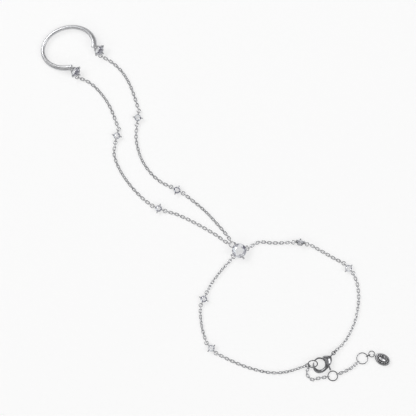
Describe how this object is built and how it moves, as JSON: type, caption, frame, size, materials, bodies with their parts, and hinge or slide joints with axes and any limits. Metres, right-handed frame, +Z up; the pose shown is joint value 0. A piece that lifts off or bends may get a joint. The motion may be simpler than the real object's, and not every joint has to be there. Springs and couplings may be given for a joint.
{
  "type": "hand chain bracelet",
  "caption": "Open finger ring joined to a fine wrist chain by two cable chains, with claw-set stones, a lobster clasp, an extender and an oval tag.",
  "frame": {"origin": "middle of the footprint of the laid-out bracelet, on the surface that it lies on", "axes": "+Z up from the surface, +Y from the clasp towards the finger ring, +X towards the tag"},
  "size_m": [0.1254, 0.128, 0.0046],
  "materials": {
    "silver": "polished, rhodium-plated silver",
    "stone": "clear, brilliant cut"
  },
  "bodies": {
    "bracelet": {"finger_ring": "silver", "hand_setting_r1": "silver", "hand_setting_r2": "silver", "hand_setting_l1": "silver", "hand_setting_l2": "silver", "hand_chain_r1": "silver", "hand_chain_r2": "silver", "hand_chain_r3": "silver", "hand_chain_l1": "silver", "hand_chain_l2": "silver", "hand_chain_l3": "silver", "centre_setting": "silver", "wrist_setting_r1": "silver", "wrist_setting_r2": "silver", "wrist_setting_l1": "silver", "wrist_setting_l2": "silver", "wrist_chain_r1": "silver", "wrist_chain_l1": "silver", "wrist_chain_r2": "silver", "wrist_chain_r3": "silver", "wrist_chain_l2": "silver", "wrist_chain_l3": "silver", "wrist_rings": "silver", "clasp_body": "silver", "clasp_rings": "silver", "end_rings": "silver", "extender_chain_1": "silver", "extender_ring_1": "silver", "extender_chain_2": "silver", "extender_ring_2": "silver", "tag_links": "silver", "tag": "silver", "ring_stone_upper": "stone", "ring_stone_lower": "stone", "hand_stone_r1": "stone", "hand_stone_r2": "stone", "hand_stone_l1": "stone", "hand_stone_l2": "stone", "centre_stone": "stone", "wrist_stone_r1": "stone", "wrist_stone_r2": "stone", "wrist_stone_l1": "stone", "wrist_stone_l2": "stone"},
    "lever": {"clasp_lever": "silver"}
  },
  "joints": [
    {"name": "clasp_trigger", "type": "hinge", "parent": "bracelet", "child": "lever", "pos_m": [0.03985, -0.05633, 0.0011], "axis": [0, 0, 1], "range_deg": [0, 15], "stiffness_Nm_per_rad": 0.0004, "springref_deg": -17.19}
  ]
}
